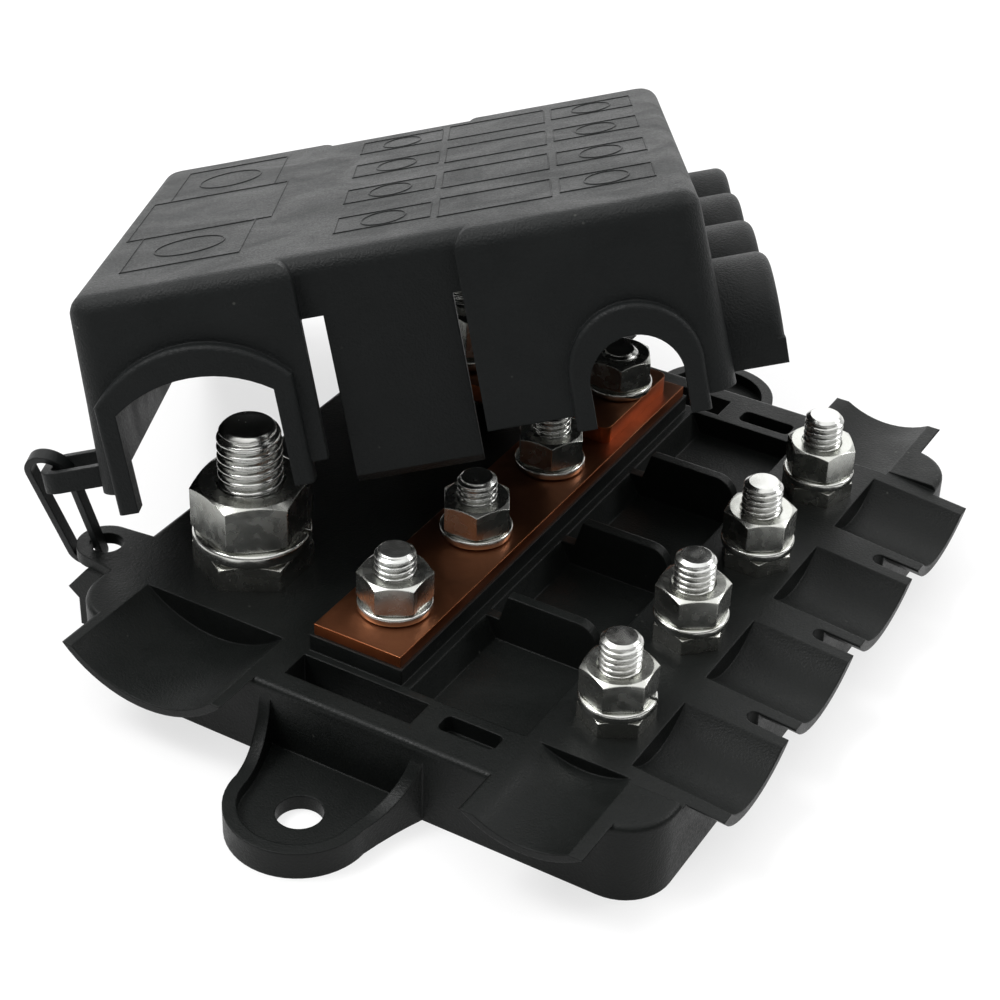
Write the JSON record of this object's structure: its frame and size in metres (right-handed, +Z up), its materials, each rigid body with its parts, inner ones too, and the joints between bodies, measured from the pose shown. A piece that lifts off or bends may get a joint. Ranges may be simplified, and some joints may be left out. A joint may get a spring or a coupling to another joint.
{
  "type": "power distribution block",
  "caption": "Moulded power distribution block: copper bus bar, feed and outlet studs with nuts, fuse bays, cable troughs, fixing ears and a tethered cover lying open.",
  "frame": {"origin": "midway between the two fixing ears on the underside", "axes": "+X from the feed studs towards the outlet studs, +Y along the bus bar away from the end that carries the cover's tether, +Z up"},
  "size_m": [0.1266, 0.1328, 0.0606],
  "materials": {
    "black_nylon": "black glass-filled nylon, fine satin",
    "cover_nylon": "black glass-filled nylon, fine matte",
    "link_nylon": "black nylon, satin",
    "copper": "copper with a light brown patina",
    "plated_stud": "zinc plated thread",
    "plated_washer": "bright zinc plated",
    "plated_nut": "bright zinc plated"
  },
  "bodies": {
    "tray": {"base_tray": "black_nylon", "bus_bar": "copper", "link_bar": "copper", "bus_studs": "plated_stud", "bus_spring_washers": "plated_washer", "bus_nuts": "plated_nut", "outlet_studs": "plated_stud", "outlet_spring_washers": "plated_washer", "outlet_nuts": "plated_nut", "feed_stud_front": "plated_stud", "feed_stud_rear": "plated_stud", "feed_spring_washer_front": "plated_washer", "feed_spring_washer_rear": "plated_washer", "feed_nut_front": "plated_nut", "feed_nut_rear": "plated_nut"},
    "link": {"tether_link": "link_nylon"},
    "cover": {"cover": "cover_nylon"}
  },
  "joints": [
    {"name": "link_swing", "type": "hinge", "parent": "tray", "child": "link", "pos_m": [-0.04645, -0.0329, 0.0097], "axis": [0, -1, 0], "range_deg": [0, 10]},
    {"name": "cover_swing", "type": "hinge", "parent": "link", "child": "cover", "pos_m": [-0.04729, -0.03673, 0.02191], "axis": [0.4826, -0.8352, 0.2638], "range_deg": [0, 85]}
  ]
}
